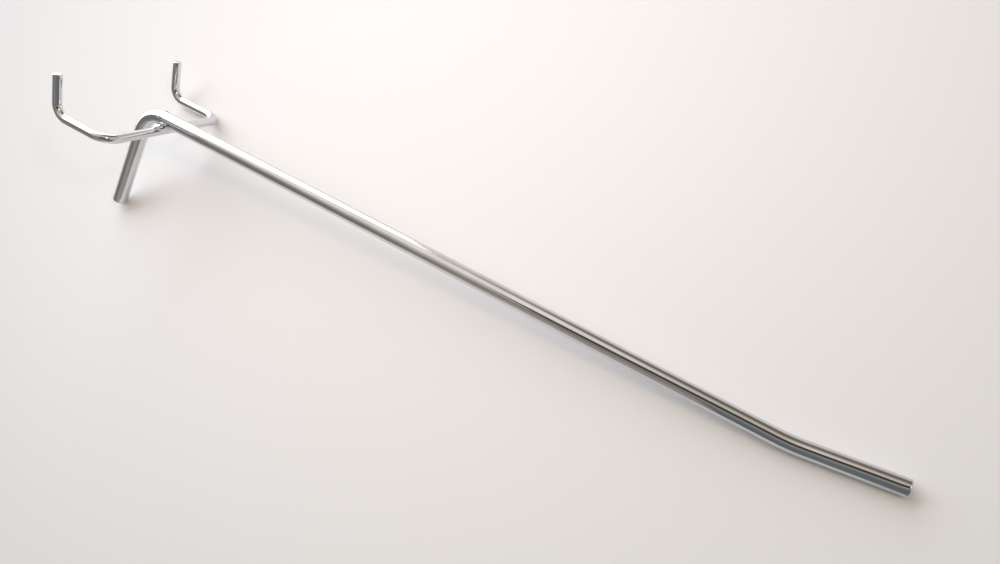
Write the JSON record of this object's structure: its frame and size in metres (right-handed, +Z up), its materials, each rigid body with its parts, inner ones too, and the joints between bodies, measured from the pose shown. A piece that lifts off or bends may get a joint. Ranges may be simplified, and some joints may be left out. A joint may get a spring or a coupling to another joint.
{
  "type": "pegboard hook",
  "caption": "Long wire pegboard hook: a round arm with an upturned tip and a rear leg, cross-welded to a thin fork whose upturned pegs hold in the board's holes.",
  "frame": {"origin": "on the board's front face, midway between the pegs, at the height where the pegs' axes cross that face", "axes": "+Y into the board, so the arm reaches towards -Y; +Z up; X along the peg wire's bar"},
  "size_m": [0.053, 0.2718, 0.0605],
  "materials": {
    "plated_wire": "bright plated steel wire with drawn-wire lines"
  },
  "bodies": {
    "root": {"arm_wire": "plated_wire", "peg_wire": "plated_wire"}
  },
  "joints": []
}
